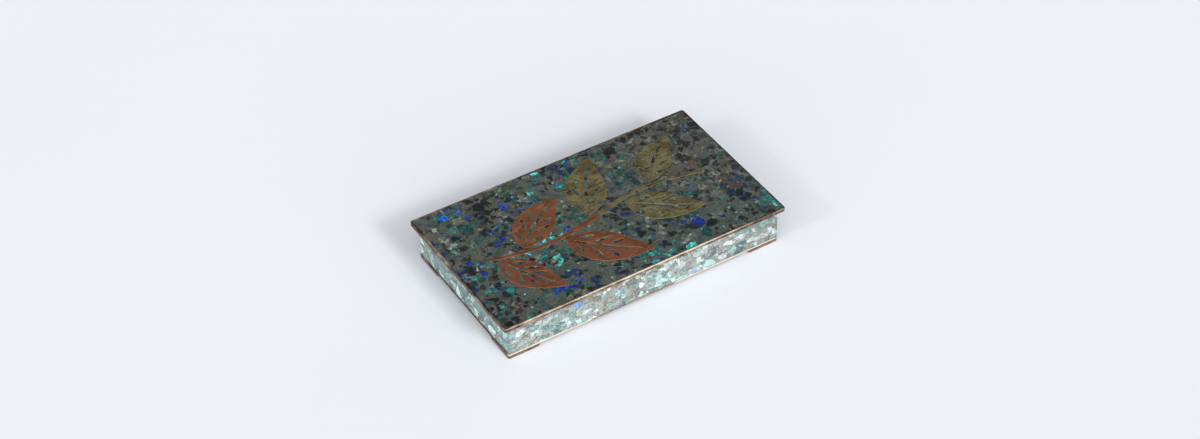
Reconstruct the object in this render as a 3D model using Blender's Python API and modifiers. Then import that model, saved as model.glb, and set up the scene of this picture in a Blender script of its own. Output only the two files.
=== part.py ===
"""A shallow hinged keepsake box in mixed metal: brass carcass on four corner feet, shell mosaic
sides, a stone mosaic lid with copper and brass leaf inlay, and a cedar lining.

Metres, +Z up. +X runs along the length, -Y is the front, and the back carries the hinge. The
origin is on the ground under the middle of the lid."""

import math
from functools import partial

import bmesh
import bpy
from mathutils import Matrix, Vector

# Overall size
LID_LENGTH = 0.210
LID_WIDTH = 0.119
BOX_HEIGHT = 0.029

# Clearance between any two pieces, and how far a cutter runs past what it cuts
GAP = 0.0003
OVERRUN = 0.001
WELD = 0.000001

# Lid tray
LID_PLATE_THICKNESS = 0.0010
LID_RIM_HEIGHT = 0.0016
LID_RIM_WIDTH = 0.0010
LID_CORNER_RADIUS = 0.0015
MOSAIC_RECESS = 0.0001

# How far the lid reaches past the shell bands
SIDE_OVERHANG = 0.0037
FRONT_OVERHANG = 0.0028
BACK_OVERHANG = 0.0050

# Carcass
BASE_THICKNESS = 0.0010
BASE_PROJECTION = 0.0003
BASE_CORNER_RADIUS = 0.0010
WALL_THICKNESS = 0.0008
WALL_BEND_RADIUS = 0.0004
TOP_RIM_THICKNESS = 0.0008
SHELL_THICKNESS = 0.0020

# Cedar lining
LINING_THICKNESS = 0.0030
FLOOR_THICKNESS = 0.0025
LINING_BEVEL = 0.0004

# Corner feet
FOOT_HEIGHT = 0.0020
FOOT_LEG = 0.0230
FOOT_WIDTH = 0.0032
FOOT_CORNER_RADIUS = 0.0010

# Hinge
HINGE_END_MARGIN = 0.0110
KNUCKLE_COUNT = 11
PIN_RADIUS = 0.0008
LEAF_SHEET = 0.0008
BOX_LEAF_DROP = 0.0051
LID_LEAF_MARGIN = 0.0008
ROUND_SIDES = 16

# Leaf spray inlaid in the lid. It fills the lid up to these margins.
INLAY_THICKNESS = 0.0008
SPRAY_END_MARGIN = 0.0240
SPRAY_EDGE_MARGIN = 0.0125
STEM_JOINT = 0.0012

# The spray's drawing, whose unit is its rise from the lid's middle to its top: its reach to
# either end, then widths and distances as shares of the rise
REACH_SHARE = 1.723
STEM_SWAY_SHARE = 0.138
STEM_WIDTH_SHARE = 0.085
STEM_TIP_SHARE = 0.051
LEAF_STANDOFF_SHARE = 0.038
SLOT_WIDTH_SHARE = 0.051
LEAF_ANGLE = math.radians(58)
LEAF_BEND = math.radians(26)
VEIN_ANGLE = math.radians(36)

# A leaf's width and its widest place as shares of its length
LEAF_WIDTH_SHARE = 0.48
LEAF_WIDEST_SHARE = 0.41

# Each leaf: where it sits along the stem as a share of the stem's reach, the side it grows on,
# and its length as a share of the full leaf
COPPER_LEAF_SHARES = ((-0.94, -1, 0.84), (-0.73, 1, 0.93), (-0.39, -1, 1.0))
BRASS_LEAF_SHARES = ((-0.06, 1, 1.0), (0.23, -1, 0.93), (0.54, 1, 0.84))
# Each pair of side veins: its start along the leaf, and how much of the half width it spans
VEIN_SHARES = ((0.13, 0.50), (0.31, 0.54), (0.50, 0.46))
# How far a vein starts from the leaf's middle line as a share of the slot's width, and how far
# along the leaf from there its span is measured
VEIN_OFFSET_SHARE = 1.25
VEIN_LEAD_SHARE = 0.12
MIDRIB_SHARES = (0.07, 0.86)
# The sharpest corner that a grown outline keeps whole, as the share that its mitre is cut to
MITRE_SHARE = 0.4

# Plan rectangles as left, front, right, back
LID_RECT = (-LID_LENGTH / 2, -LID_WIDTH / 2, LID_LENGTH / 2, LID_WIDTH / 2)


def inset(rect, amount):
    """The rectangle with every side moved inwards."""
    left, front, right, back = rect
    return (left + amount, front + amount, right - amount, back - amount)


SHELL_RECT = (
    LID_RECT[0] + SIDE_OVERHANG,
    LID_RECT[1] + FRONT_OVERHANG,
    LID_RECT[2] - SIDE_OVERHANG,
    LID_RECT[3] - BACK_OVERHANG,
)
BASE_RECT = inset(SHELL_RECT, -BASE_PROJECTION)
WALL_RECT = inset(SHELL_RECT, SHELL_THICKNESS + GAP)
ROOM_RECT = inset(WALL_RECT, WALL_THICKNESS)
LINING_RECT = inset(ROOM_RECT, GAP)
CAVITY_RECT = inset(LINING_RECT, LINING_THICKNESS)
MOSAIC_RECT = inset(LID_RECT, LID_RIM_WIDTH + GAP)

# Heights, from the top of the lid down
LID_RIM_BOTTOM = BOX_HEIGHT - LID_RIM_HEIGHT
LID_PLATE_TOP = LID_RIM_BOTTOM - GAP
LID_UNDERSIDE = LID_PLATE_TOP - LID_PLATE_THICKNESS
BODY_TOP = LID_UNDERSIDE - GAP
TOP_RIM_BOTTOM = BODY_TOP - TOP_RIM_THICKNESS
WALL_TOP = TOP_RIM_BOTTOM - GAP
MOSAIC_TOP = BOX_HEIGHT - MOSAIC_RECESS
INLAY_BOTTOM = MOSAIC_TOP - INLAY_THICKNESS
POCKET_FLOOR = INLAY_BOTTOM - GAP

# Heights, from the ground up
BASE_BOTTOM = FOOT_HEIGHT + GAP
BASE_TOP = BASE_BOTTOM + BASE_THICKNESS
WALL_BOTTOM = BASE_TOP + GAP
FLOOR_TOP = WALL_BOTTOM + FLOOR_THICKNESS
LINING_BOTTOM = FLOOR_TOP + GAP

# Hinge line: the barrel is tangent to the back wall's leaf and to the lid's leaf
BORE_RADIUS = PIN_RADIUS + GAP
BARREL_RADIUS = BORE_RADIUS + LEAF_SHEET
AXIS_Y = WALL_RECT[3] + GAP + BARREL_RADIUS
AXIS_Z = LID_UNDERSIDE - GAP - BARREL_RADIUS
HINGE_LEFT = SHELL_RECT[0] + HINGE_END_MARGIN
HINGE_RIGHT = SHELL_RECT[2] - HINGE_END_MARGIN
BOX_LEAF_BOTTOM = AXIS_Z - BOX_LEAF_DROP

# Spray: a leaf bends forward as it climbs, which sets how much it rises for its length
LEAF_RISE = (math.cos(LEAF_ANGLE - LEAF_BEND) - math.cos(LEAF_ANGLE)) / LEAF_BEND
LEAF_LENGTH = (1 - STEM_SWAY_SHARE) / LEAF_RISE
WIDEST_POWER = math.log(0.5, LEAF_WIDEST_SHARE)
SPRAY_SCALE = (
    (LID_LENGTH / 2 - SPRAY_END_MARGIN) / REACH_SHARE,
    LID_WIDTH / 2 - SPRAY_EDGE_MARGIN,
)

# Material: base colour, metallic, roughness
FINISHES = {
    "brass_sheet": ((0.46, 0.35, 0.15), 1.0, 0.38),
    "dark_brass": ((0.24, 0.17, 0.09), 1.0, 0.45),
    "patinated_rim": ((0.22, 0.12, 0.07), 1.0, 0.42),
    "inlay_copper": ((0.44, 0.20, 0.12), 1.0, 0.36),
    "inlay_brass": ((0.36, 0.30, 0.14), 1.0, 0.38),
    "stone_mosaic": ((0.060, 0.095, 0.085), 0.0, 0.32),
    "shell_mosaic": ((0.42, 0.49, 0.48), 0.0, 0.28),
    "cedar": ((0.33, 0.13, 0.055), 0.0, 0.55),
}


def clear_scene():
    for item in list(bpy.data.objects):
        bpy.data.objects.remove(item)


def new_collection(name):
    collection = bpy.data.collections.new(name)
    bpy.context.scene.collection.children.link(collection)
    return collection


def finish_material(piece, finish):
    """Gives the piece its own material, named for it."""
    colour, metallic, roughness = FINISHES[finish]
    material = bpy.data.materials.new(piece.name + "_" + finish)
    material.use_nodes = True
    shader = material.node_tree.nodes["Principled BSDF"]
    shader.inputs["Base Color"].default_value = (*colour, 1)
    shader.inputs["Metallic"].default_value = metallic
    shader.inputs["Roughness"].default_value = roughness
    piece.data.materials.clear()
    piece.data.materials.append(material)


def add_piece(name, mesh, finish):
    piece = bpy.data.objects.new(name, mesh)
    PARTS.objects.link(piece)
    finish_material(piece, finish)
    return piece


def add_cutter(name, mesh):
    cutter = bpy.data.objects.new(name, mesh)
    CUTTERS.objects.link(cutter)
    cutter.hide_render = True
    cutter.display_type = "WIRE"
    return cutter


def combine(piece, other, operation, solver="EXACT"):
    modifier = piece.modifiers.new(operation.lower(), "BOOLEAN")
    modifier.operation = operation
    modifier.object = other
    modifier.solver = solver


def sheet_mesh(name, outlines, bottom, thickness):
    """Flat sheet from closed outlines in plan, the later ones being holes."""
    curve = bpy.data.curves.new(name, "CURVE")
    curve.dimensions = "2D"
    curve.fill_mode = "BOTH"
    curve.extrude = thickness / 2
    for outline in outlines:
        spline = curve.splines.new("POLY")
        spline.points.add(len(outline) - 1)
        for point, (x, y) in zip(spline.points, outline):
            point.co = (x, y, 0, 1)
        spline.use_cyclic_u = True
    guide = bpy.data.objects.new(name + "_outline", curve)
    CUTTERS.objects.link(guide)
    bpy.context.view_layer.update()
    flat = guide.evaluated_get(bpy.context.evaluated_depsgraph_get())
    mesh = bpy.data.meshes.new_from_object(flat)
    bpy.data.objects.remove(guide)
    solid = bmesh.new()
    solid.from_mesh(mesh)
    bmesh.ops.remove_doubles(solid, verts=solid.verts, dist=WELD)
    bmesh.ops.translate(solid, verts=solid.verts, vec=(0, 0, bottom + thickness / 2))
    bmesh.ops.recalc_face_normals(solid, faces=solid.faces)
    for face in solid.faces:
        face.smooth = False
    solid.to_mesh(mesh)
    solid.free()
    return mesh


def box_mesh(name, low, high):
    """A box between two corners, as a cube primitive with its scale applied."""
    low, high = Vector(low), Vector(high)
    size = high - low
    solid = bmesh.new()
    bmesh.ops.create_cube(solid, size=1)
    place = Matrix.Translation((low + high) / 2) @ Matrix.Diagonal((*size, 1))
    bmesh.ops.transform(solid, matrix=place, verts=solid.verts)
    mesh = bpy.data.meshes.new(name)
    solid.to_mesh(mesh)
    solid.free()
    return mesh


def rods_mesh(name, radius, spans):
    """Round rods along the hinge line, one for each span along X."""
    solid = bmesh.new()
    half_side = Matrix.Rotation(math.pi / ROUND_SIDES, 4, "Z")
    along_x = Matrix.Rotation(math.pi / 2, 4, "Y")
    for left, right in spans:
        place = Matrix.Translation(((left + right) / 2, AXIS_Y, AXIS_Z)) @ along_x @ half_side
        bmesh.ops.create_cone(
            solid,
            cap_ends=True,
            segments=ROUND_SIDES,
            radius1=radius,
            radius2=radius,
            depth=right - left,
            matrix=place,
        )
    mesh = bpy.data.meshes.new(name)
    solid.to_mesh(mesh)
    solid.free()
    return mesh


def rectangle(rect):
    left, front, right, back = rect
    return [(left, front), (right, front), (right, back), (left, back)]


def rounded_rectangle(rect, radius, steps=4):
    """Outline with quarter-circle corners, anticlockwise from the front left corner."""
    left, front, right, back = inset(rect, radius)
    centres = ((left, front, 180), (right, front, 270), (right, back, 0), (left, back, 90))
    points = []
    for x, y, start in centres:
        for step in range(steps + 1):
            angle = math.radians(start + 90 * step / steps)
            points.append((x + radius * math.cos(angle), y + radius * math.sin(angle)))
    return points


def grown(outline, amount):
    """The outline with each corner moved outwards along its bisector. It runs anticlockwise."""
    points = [Vector(point) for point in outline]
    moved = []
    for index, point in enumerate(points):
        before = (point - points[index - 1]).normalized()
        after = (points[(index + 1) % len(points)] - point).normalized()
        normal = Vector((before.y + after.y, -before.x - after.x)).normalized()
        spread = max(normal.dot(Vector((before.y, -before.x))), MITRE_SHARE)
        moved.append(tuple(point + normal * amount / spread))
    return moved


def placed(outline, position, angle, side):
    """The outline turned to an angle and moved, mirrored first where side is -1."""
    turn = Matrix.Rotation(angle, 2)
    points = [turn @ Vector((x, y * side)) + Vector(position) for x, y in outline]
    if side < 0:
        points.reverse()
    return [tuple(point) for point in points]


# Lid


def lid_plate():
    outline = rounded_rectangle(LID_RECT, LID_CORNER_RADIUS)
    mesh = sheet_mesh("lid_plate", [outline], LID_UNDERSIDE, LID_PLATE_THICKNESS)
    return add_piece("lid_plate", mesh, "brass_sheet")


def lid_rim():
    outer = rounded_rectangle(LID_RECT, LID_CORNER_RADIUS)
    inner = rounded_rectangle(inset(LID_RECT, LID_RIM_WIDTH), LID_CORNER_RADIUS / 2)
    mesh = sheet_mesh("lid_rim", [outer, inner], LID_RIM_BOTTOM, LID_RIM_HEIGHT)
    return add_piece("lid_rim", mesh, "patinated_rim")


def fitted(outline):
    """The outline taken from the spray's drawing to the lid."""
    across, up = SPRAY_SCALE
    return [(x * across, y * up) for x, y in outline]


def stem_centre(share):
    """Point on the stem's line, at a share of its reach from the middle of the drawing."""
    return Vector((REACH_SHARE * share, STEM_SWAY_SHARE * math.sin(math.pi * share)))


def stem_heading(share):
    slope = STEM_SWAY_SHARE * math.pi * math.cos(math.pi * share) / REACH_SHARE
    return math.atan(slope)


def stem_outlines(start, end, growth, steps=12):
    """A strip along the stem's line between two shares, thinner towards its outer end."""
    lower, upper = [], []
    for step in range(steps + 1):
        share = start + (end - start) * step / steps
        width = STEM_WIDTH_SHARE + (STEM_TIP_SHARE - STEM_WIDTH_SHARE) * abs(share)
        heading = stem_heading(share)
        across = Vector((-math.sin(heading), math.cos(heading))) * width / 2
        lower.append(tuple(stem_centre(share) - across))
        upper.append(tuple(stem_centre(share) + across))
    return [grown(fitted(lower + upper[::-1]), growth)]


def leaf_line(share, length):
    """Point and heading on a leaf's bent middle line."""
    turn = LEAF_BEND * share
    point = Vector((math.sin(turn), 1 - math.cos(turn))) * length / LEAF_BEND
    return point, turn


def leaf_half_width(share, length):
    return length * LEAF_WIDTH_SHARE / 2 * math.sin(math.pi * share**WIDEST_POWER)


def leaf_outline(length, steps=16):
    """A pointed leaf from its base at the origin, along +X, bending to the left."""
    right, left = [], []
    for step in range(steps + 1):
        share = (1 - math.cos(math.pi * step / steps)) / 2
        point, heading = leaf_line(share, length)
        across = Vector((-math.sin(heading), math.cos(heading)))
        offset = across * leaf_half_width(share, length)
        right.append(tuple(point - offset))
        left.append(tuple(point + offset))
    return right + left[-2:0:-1]


def slot_outline(line, steps=5):
    """A long slot with tapered round ends along a line, which maps a share to point and
    heading."""
    right, left = [], []
    for step in range(steps + 1):
        turn = math.pi * step / steps
        point, heading = line((1 - math.cos(turn)) / 2)
        across = Vector((-math.sin(heading), math.cos(heading)))
        offset = across * SLOT_WIDTH_SHARE / 2 * math.sin(turn)
        right.append(tuple(point - offset))
        left.append(tuple(point + offset))
    return right + left[-2:0:-1]


def leaf_slots(length):
    """The sawn midrib and side veins of a leaf."""
    start, end = MIDRIB_SHARES
    slots = [slot_outline(lambda share: leaf_line(start + (end - start) * share, length), 8)]
    for place, span in VEIN_SHARES:
        for side in (-1, 1):
            base, heading = leaf_line(place, length)
            across = Vector((-math.sin(heading), math.cos(heading))) * side
            begin = base + across * SLOT_WIDTH_SHARE * VEIN_OFFSET_SHARE
            direction = heading + VEIN_ANGLE * side
            width = leaf_half_width(place + VEIN_LEAD_SHARE, length)
            reach = span * width / math.sin(VEIN_ANGLE)
            along = Vector((math.cos(direction), math.sin(direction))) * reach
            slots.append(slot_outline(lambda share: (begin + along * share, direction)))
    return slots


def leaf_outlines(shares, growth):
    """Outline and slots of one leaf in its place. Growth widens the leaf and narrows its
    slots, which leaves room for what fills them."""
    place, side, size = shares
    length = LEAF_LENGTH * size
    angle = stem_heading(place) + LEAF_ANGLE * side
    heading = Vector((math.cos(angle), math.sin(angle)))
    position = stem_centre(place) + heading * (STEM_WIDTH_SHARE / 2 + LEAF_STANDOFF_SHARE)
    outlines = []
    for outline in [leaf_outline(length)] + leaf_slots(length):
        outlines.append(fitted(placed(outline, position, angle, -side)))
    return [grown(outlines[0], growth)] + [grown(slot, -growth) for slot in outlines[1:]]


def spray_inlays():
    """Name, finish and outline maker of every inlay. A maker takes how much to grow by."""
    joint = STEM_JOINT / (LID_LENGTH - 2 * SPRAY_END_MARGIN)
    inlays = [
        ("copper_stem", "inlay_copper", partial(stem_outlines, -1, -joint)),
        ("brass_stem", "inlay_brass", partial(stem_outlines, joint, 1)),
    ]
    for metal, leaves in (("copper", COPPER_LEAF_SHARES), ("brass", BRASS_LEAF_SHARES)):
        for number, shares in enumerate(leaves, 1):
            name = f"{metal}_leaf_{number}"
            inlays.append((name, "inlay_" + metal, partial(leaf_outlines, shares)))
    return inlays


def lid_mosaic_and_inlays():
    """The stone slab with a pocket for each inlay, and the inlays in their pockets."""
    outline = rounded_rectangle(MOSAIC_RECT, LID_CORNER_RADIUS / 2)
    mesh = sheet_mesh("lid_mosaic", [outline], LID_RIM_BOTTOM, MOSAIC_TOP - LID_RIM_BOTTOM)
    mosaic = add_piece("lid_mosaic", mesh, "stone_mosaic")
    pieces = [mosaic]
    depth = MOSAIC_TOP + OVERRUN - POCKET_FLOOR
    for name, finish, outlines in spray_inlays():
        pocket = sheet_mesh(name + "_pocket", outlines(GAP), POCKET_FLOOR, depth)
        combine(mosaic, add_cutter(name + "_pocket", pocket), "DIFFERENCE")
        inlay = sheet_mesh(name, outlines(0), INLAY_BOTTOM, INLAY_THICKNESS)
        pieces.append(add_piece(name, inlay, finish))
    return pieces


# Hinge


def knuckle_spans(first):
    """Spans along X of every second knuckle, starting with the first or the second."""
    pitch = (HINGE_RIGHT - HINGE_LEFT + GAP) / KNUCKLE_COUNT
    spans = []
    for index in range(first, KNUCKLE_COUNT, 2):
        left = HINGE_LEFT + pitch * index
        spans.append((left, left + pitch - GAP))
    return spans


def fingered_outline(edge, root, tip, spans):
    """A strip from the hinge's left end to its right, from edge to root, with a finger
    reaching to tip at each span."""
    fingers = []
    for left, right in spans:
        fingers += [(left, root), (left, tip), (right, tip), (right, root)]
    if spans[0][0] > HINGE_LEFT:
        fingers = [(HINGE_LEFT, root), *fingers, (HINGE_RIGHT, root)]
    else:
        fingers = fingers[1:-1]
    return [(HINGE_RIGHT, edge), (HINGE_LEFT, edge), *fingers]


def hinge_leaf(name, mesh, spans, finish):
    """Adds the rolled knuckles to a leaf's sheet and bores them for the pin. The knuckles end
    flush with the sheet's fingers, which the exact solver can't join."""
    leaf = add_piece(name, mesh, finish)
    knuckles = add_cutter(name + "_knuckles", rods_mesh(name, BARREL_RADIUS, spans))
    combine(leaf, knuckles, "UNION", "MANIFOLD")
    bore = rods_mesh(name, BORE_RADIUS, [(HINGE_LEFT - OVERRUN, HINGE_RIGHT + OVERRUN)])
    combine(leaf, add_cutter(name + "_bore", bore), "DIFFERENCE", "MANIFOLD")
    return leaf


def hinge_box_leaf():
    """Upright leaf on the back wall, below the barrel."""
    spans = knuckle_spans(0)
    outline = fingered_outline(BOX_LEAF_BOTTOM, AXIS_Z - BARREL_RADIUS - GAP, AXIS_Z, spans)
    mesh = sheet_mesh("hinge_box_leaf", [outline], 0, LEAF_SHEET)
    upright = Matrix.Translation((0, WALL_RECT[3] + GAP + LEAF_SHEET, 0))
    mesh.transform(upright @ Matrix.Rotation(math.pi / 2, 4, "X"))
    return hinge_leaf("hinge_box_leaf", mesh, spans, "dark_brass")


def hinge_lid_leaf():
    """Flat leaf under the lid's back overhang, behind the barrel."""
    spans = knuckle_spans(1)
    outline = fingered_outline(
        LID_RECT[3] - LID_LEAF_MARGIN, AXIS_Y + BARREL_RADIUS + GAP, AXIS_Y, spans
    )
    mesh = sheet_mesh("hinge_lid_leaf", [outline], LID_UNDERSIDE - GAP - LEAF_SHEET, LEAF_SHEET)
    return hinge_leaf("hinge_lid_leaf", mesh, spans, "dark_brass")


def hinge_pin():
    pin = add_piece(
        "hinge_pin", rods_mesh("hinge_pin", PIN_RADIUS, [(HINGE_LEFT, HINGE_RIGHT)]), "brass_sheet"
    )
    pin.data.shade_smooth()
    pin.data.set_sharp_from_angle(angle=math.radians(40))
    return pin


# Carcass


def base_plate():
    outline = rounded_rectangle(BASE_RECT, BASE_CORNER_RADIUS)
    mesh = sheet_mesh("base_plate", [outline], BASE_BOTTOM, BASE_THICKNESS)
    return add_piece("base_plate", mesh, "brass_sheet")


def wall_frame():
    """The sheet wall bent round the four corners."""
    outer = rounded_rectangle(WALL_RECT, WALL_BEND_RADIUS + WALL_THICKNESS)
    inner = rounded_rectangle(ROOM_RECT, WALL_BEND_RADIUS)
    mesh = sheet_mesh("wall_frame", [outer, inner], WALL_BOTTOM, WALL_TOP - WALL_BOTTOM)
    return add_piece("wall_frame", mesh, "brass_sheet")


def hinge_notch():
    """Cutter that clears the top of the back for the hinge, out from the wall."""
    low = (HINGE_LEFT - GAP, WALL_RECT[3], BOX_LEAF_BOTTOM - GAP)
    high = (HINGE_RIGHT + GAP, SHELL_RECT[3] + OVERRUN, BODY_TOP + OVERRUN)
    return add_cutter("hinge_notch", box_mesh("hinge_notch", low, high))


def top_rim(notch):
    """Flat cap over walls and shell. At the hinge it covers only the wall."""
    outer = rounded_rectangle(SHELL_RECT, BASE_CORNER_RADIUS)
    mesh = sheet_mesh("top_rim", [outer, rectangle(ROOM_RECT)], TOP_RIM_BOTTOM, TOP_RIM_THICKNESS)
    combine(add_piece("top_rim", mesh, "brass_sheet"), notch, "DIFFERENCE")


def shell_outlines():
    """Plan of the four shell bands, mitred where they meet at the corners."""
    outer = rectangle(SHELL_RECT)
    inner = rectangle(inset(SHELL_RECT, SHELL_THICKNESS))
    bands = {}
    for index, side in enumerate(("front", "right", "back", "left")):
        a, b = Vector(outer[index]), Vector(outer[(index + 1) % 4])
        c, d = Vector(inner[(index + 1) % 4]), Vector(inner[index])
        along = (b - a).normalized() * GAP / math.sqrt(2)
        bands[side] = [tuple(p) for p in (a + along, b - along, c - along, d + along)]
    return bands


def shell_bands(notch):
    for side, outline in shell_outlines().items():
        name = "shell_" + side
        mesh = sheet_mesh(name, [outline], WALL_BOTTOM, WALL_TOP - WALL_BOTTOM)
        band = add_piece(name, mesh, "shell_mosaic")
        if side == "back":
            combine(band, notch, "DIFFERENCE")


# Lining


def lining_board(name, low, high):
    board = add_piece(name, box_mesh(name, low, high), "cedar")
    bevel = board.modifiers.new("eased_edges", "BEVEL")
    bevel.width = LINING_BEVEL
    bevel.segments = 1


def lining():
    """Floor board, two long boards on it, and two short boards between them."""
    left, front, right, back = LINING_RECT
    in_left, in_front, in_right, in_back = CAVITY_RECT
    lining_board("lining_floor", (left, front, WALL_BOTTOM), (right, back, FLOOR_TOP))
    low, high = LINING_BOTTOM, BODY_TOP
    lining_board("lining_front", (left, front, low), (right, in_front, high))
    lining_board("lining_back", (left, in_back, low), (right, back, high))
    between = (in_front + GAP, in_back - GAP)
    lining_board("lining_left", (left, between[0], low), (in_left, between[1], high))
    lining_board("lining_right", (in_right, between[0], low), (right, between[1], high))


# Feet


def foot_outline(steps=4):
    """An L of flat strip with its corner at the origin, its legs along +X and +Y, and round
    leg ends."""
    radius = FOOT_CORNER_RADIUS
    end = FOOT_WIDTH / 2
    points = []
    for step in range(steps + 1):
        angle = math.radians(180 + 90 * step / steps)
        points.append((radius + radius * math.cos(angle), radius + radius * math.sin(angle)))
    for step in range(steps + 1):
        angle = math.radians(-90 + 180 * step / steps)
        points.append((FOOT_LEG - end + end * math.cos(angle), end + end * math.sin(angle)))
    points.append((FOOT_WIDTH, FOOT_WIDTH))
    for step in range(steps + 1):
        angle = math.radians(180 * step / steps)
        points.append((end + end * math.cos(angle), FOOT_LEG - end + end * math.sin(angle)))
    return points


def feet():
    left, front, right, back = BASE_RECT
    corners = {
        "front_left": (left, front, 1, 1),
        "front_right": (right, front, -1, 1),
        "back_left": (left, back, 1, -1),
        "back_right": (right, back, -1, -1),
    }
    for corner, (x, y, flip_x, flip_y) in corners.items():
        outline = [(x + px * flip_x, y + py * flip_y) for px, py in foot_outline()]
        name = "foot_" + corner
        add_piece(name, sheet_mesh(name, [outline], 0, FOOT_HEIGHT), "dark_brass")


def hang_on_hinge(pieces):
    """Parents the lid's pieces to an empty on the hinge line, so that they turn about it."""
    axis = bpy.data.objects.new("lid_axis", None)
    axis.location = (0, AXIS_Y, AXIS_Z)
    PARTS.objects.link(axis)
    bpy.context.view_layer.update()
    for piece in pieces:
        piece.parent = axis
        piece.matrix_parent_inverse = axis.matrix_world.inverted()


clear_scene()
PARTS = new_collection("tray_box")
CUTTERS = new_collection("cutters")
base_plate()
wall_frame()
NOTCH = hinge_notch()
top_rim(NOTCH)
shell_bands(NOTCH)
lining()
feet()
hinge_box_leaf()
hinge_pin()
hang_on_hinge([lid_plate(), lid_rim(), hinge_lid_leaf()] + lid_mosaic_and_inlays())
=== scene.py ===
"""Looks for the tray box: chips of stone and shell set in resin, worn brass and copper, cedar.

Every length is in metres, in the frame of the CAD part."""

import math
import random

import bpy
from mathutils import Matrix, Vector, noise
from mathutils.geometry import tessellate_polygon


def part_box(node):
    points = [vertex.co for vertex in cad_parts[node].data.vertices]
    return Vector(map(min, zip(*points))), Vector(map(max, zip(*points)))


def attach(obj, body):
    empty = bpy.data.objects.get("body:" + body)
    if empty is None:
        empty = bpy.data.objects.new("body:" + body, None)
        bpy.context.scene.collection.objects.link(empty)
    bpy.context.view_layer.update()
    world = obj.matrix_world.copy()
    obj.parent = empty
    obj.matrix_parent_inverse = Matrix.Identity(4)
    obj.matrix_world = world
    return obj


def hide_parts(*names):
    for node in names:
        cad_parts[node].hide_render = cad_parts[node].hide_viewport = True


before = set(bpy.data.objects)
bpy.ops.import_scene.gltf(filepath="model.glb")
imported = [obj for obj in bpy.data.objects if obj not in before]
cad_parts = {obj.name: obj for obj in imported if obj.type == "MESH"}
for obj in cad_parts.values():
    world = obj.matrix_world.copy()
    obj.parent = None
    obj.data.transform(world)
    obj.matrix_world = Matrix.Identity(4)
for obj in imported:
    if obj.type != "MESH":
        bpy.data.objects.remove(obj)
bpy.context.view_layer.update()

# Blender's noise vectors start from the clock, unless they are seeded
noise.seed_set(1)

MM = 0.001
LID_LOW, LID_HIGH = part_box("lid_plate")
BASE_LOW, BASE_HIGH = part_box("base_plate")
CAP_LOW, CAP_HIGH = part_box("top_rim")
BED_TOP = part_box("lid_mosaic")[1].z
RIM_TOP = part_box("lid_rim")[1].z
RIM_WIDTH = 1.0 * MM

# Top of the resin between the stones, and of the metal let into it
RESIN_TOP = BED_TOP - 0.08 * MM
INLAY_TOP = BED_TOP + 0.03 * MM
INLAY_SINK = 0.75 * MM

# Distance between the points along the metal edges
PACE = 2.5 * MM


def srgb(red, green, blue):
    """Linear colour of a screen colour given from 0 to 255."""
    shares = (red / 255, green / 255, blue / 255)
    return tuple(c / 12.92 if c < 0.04045 else ((c + 0.055) / 1.055) ** 2.4 for c in shares)


# Materials


class Nodes:
    """A node tree being made, with short calls for the nodes that it takes."""

    def __init__(self, tree):
        self.tree = tree

    def put(self, value, socket):
        if isinstance(value, bpy.types.NodeSocket):
            self.tree.links.new(value, socket)
        elif isinstance(value, tuple) and len(value) == 3 and socket.type == "RGBA":
            socket.default_value = (*value, 1)
        else:
            socket.default_value = value

    def add(self, kind, inputs=None, **settings):
        node = self.tree.nodes.new(kind)
        for key, value in settings.items():
            setattr(node, key, value)
        for key, value in (inputs or {}).items():
            self.put(value, node.inputs[key])
        return node

    def between(self, value, low, high, start=0.0, end=1.0):
        inputs = {"Value": value, "From Min": low, "From Max": high, "To Min": start, "To Max": end}
        return self.add("ShaderNodeMapRange", inputs, interpolation_type="SMOOTHSTEP").outputs[0]

    def math(self, operation, a, b=0.0):
        return self.add("ShaderNodeMath", {0: a, 1: b}, operation=operation).outputs[0]

    def plus(self, a, b):
        return self.math("ADD", a, b)

    def times(self, a, b):
        return self.math("MULTIPLY", a, b)


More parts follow.
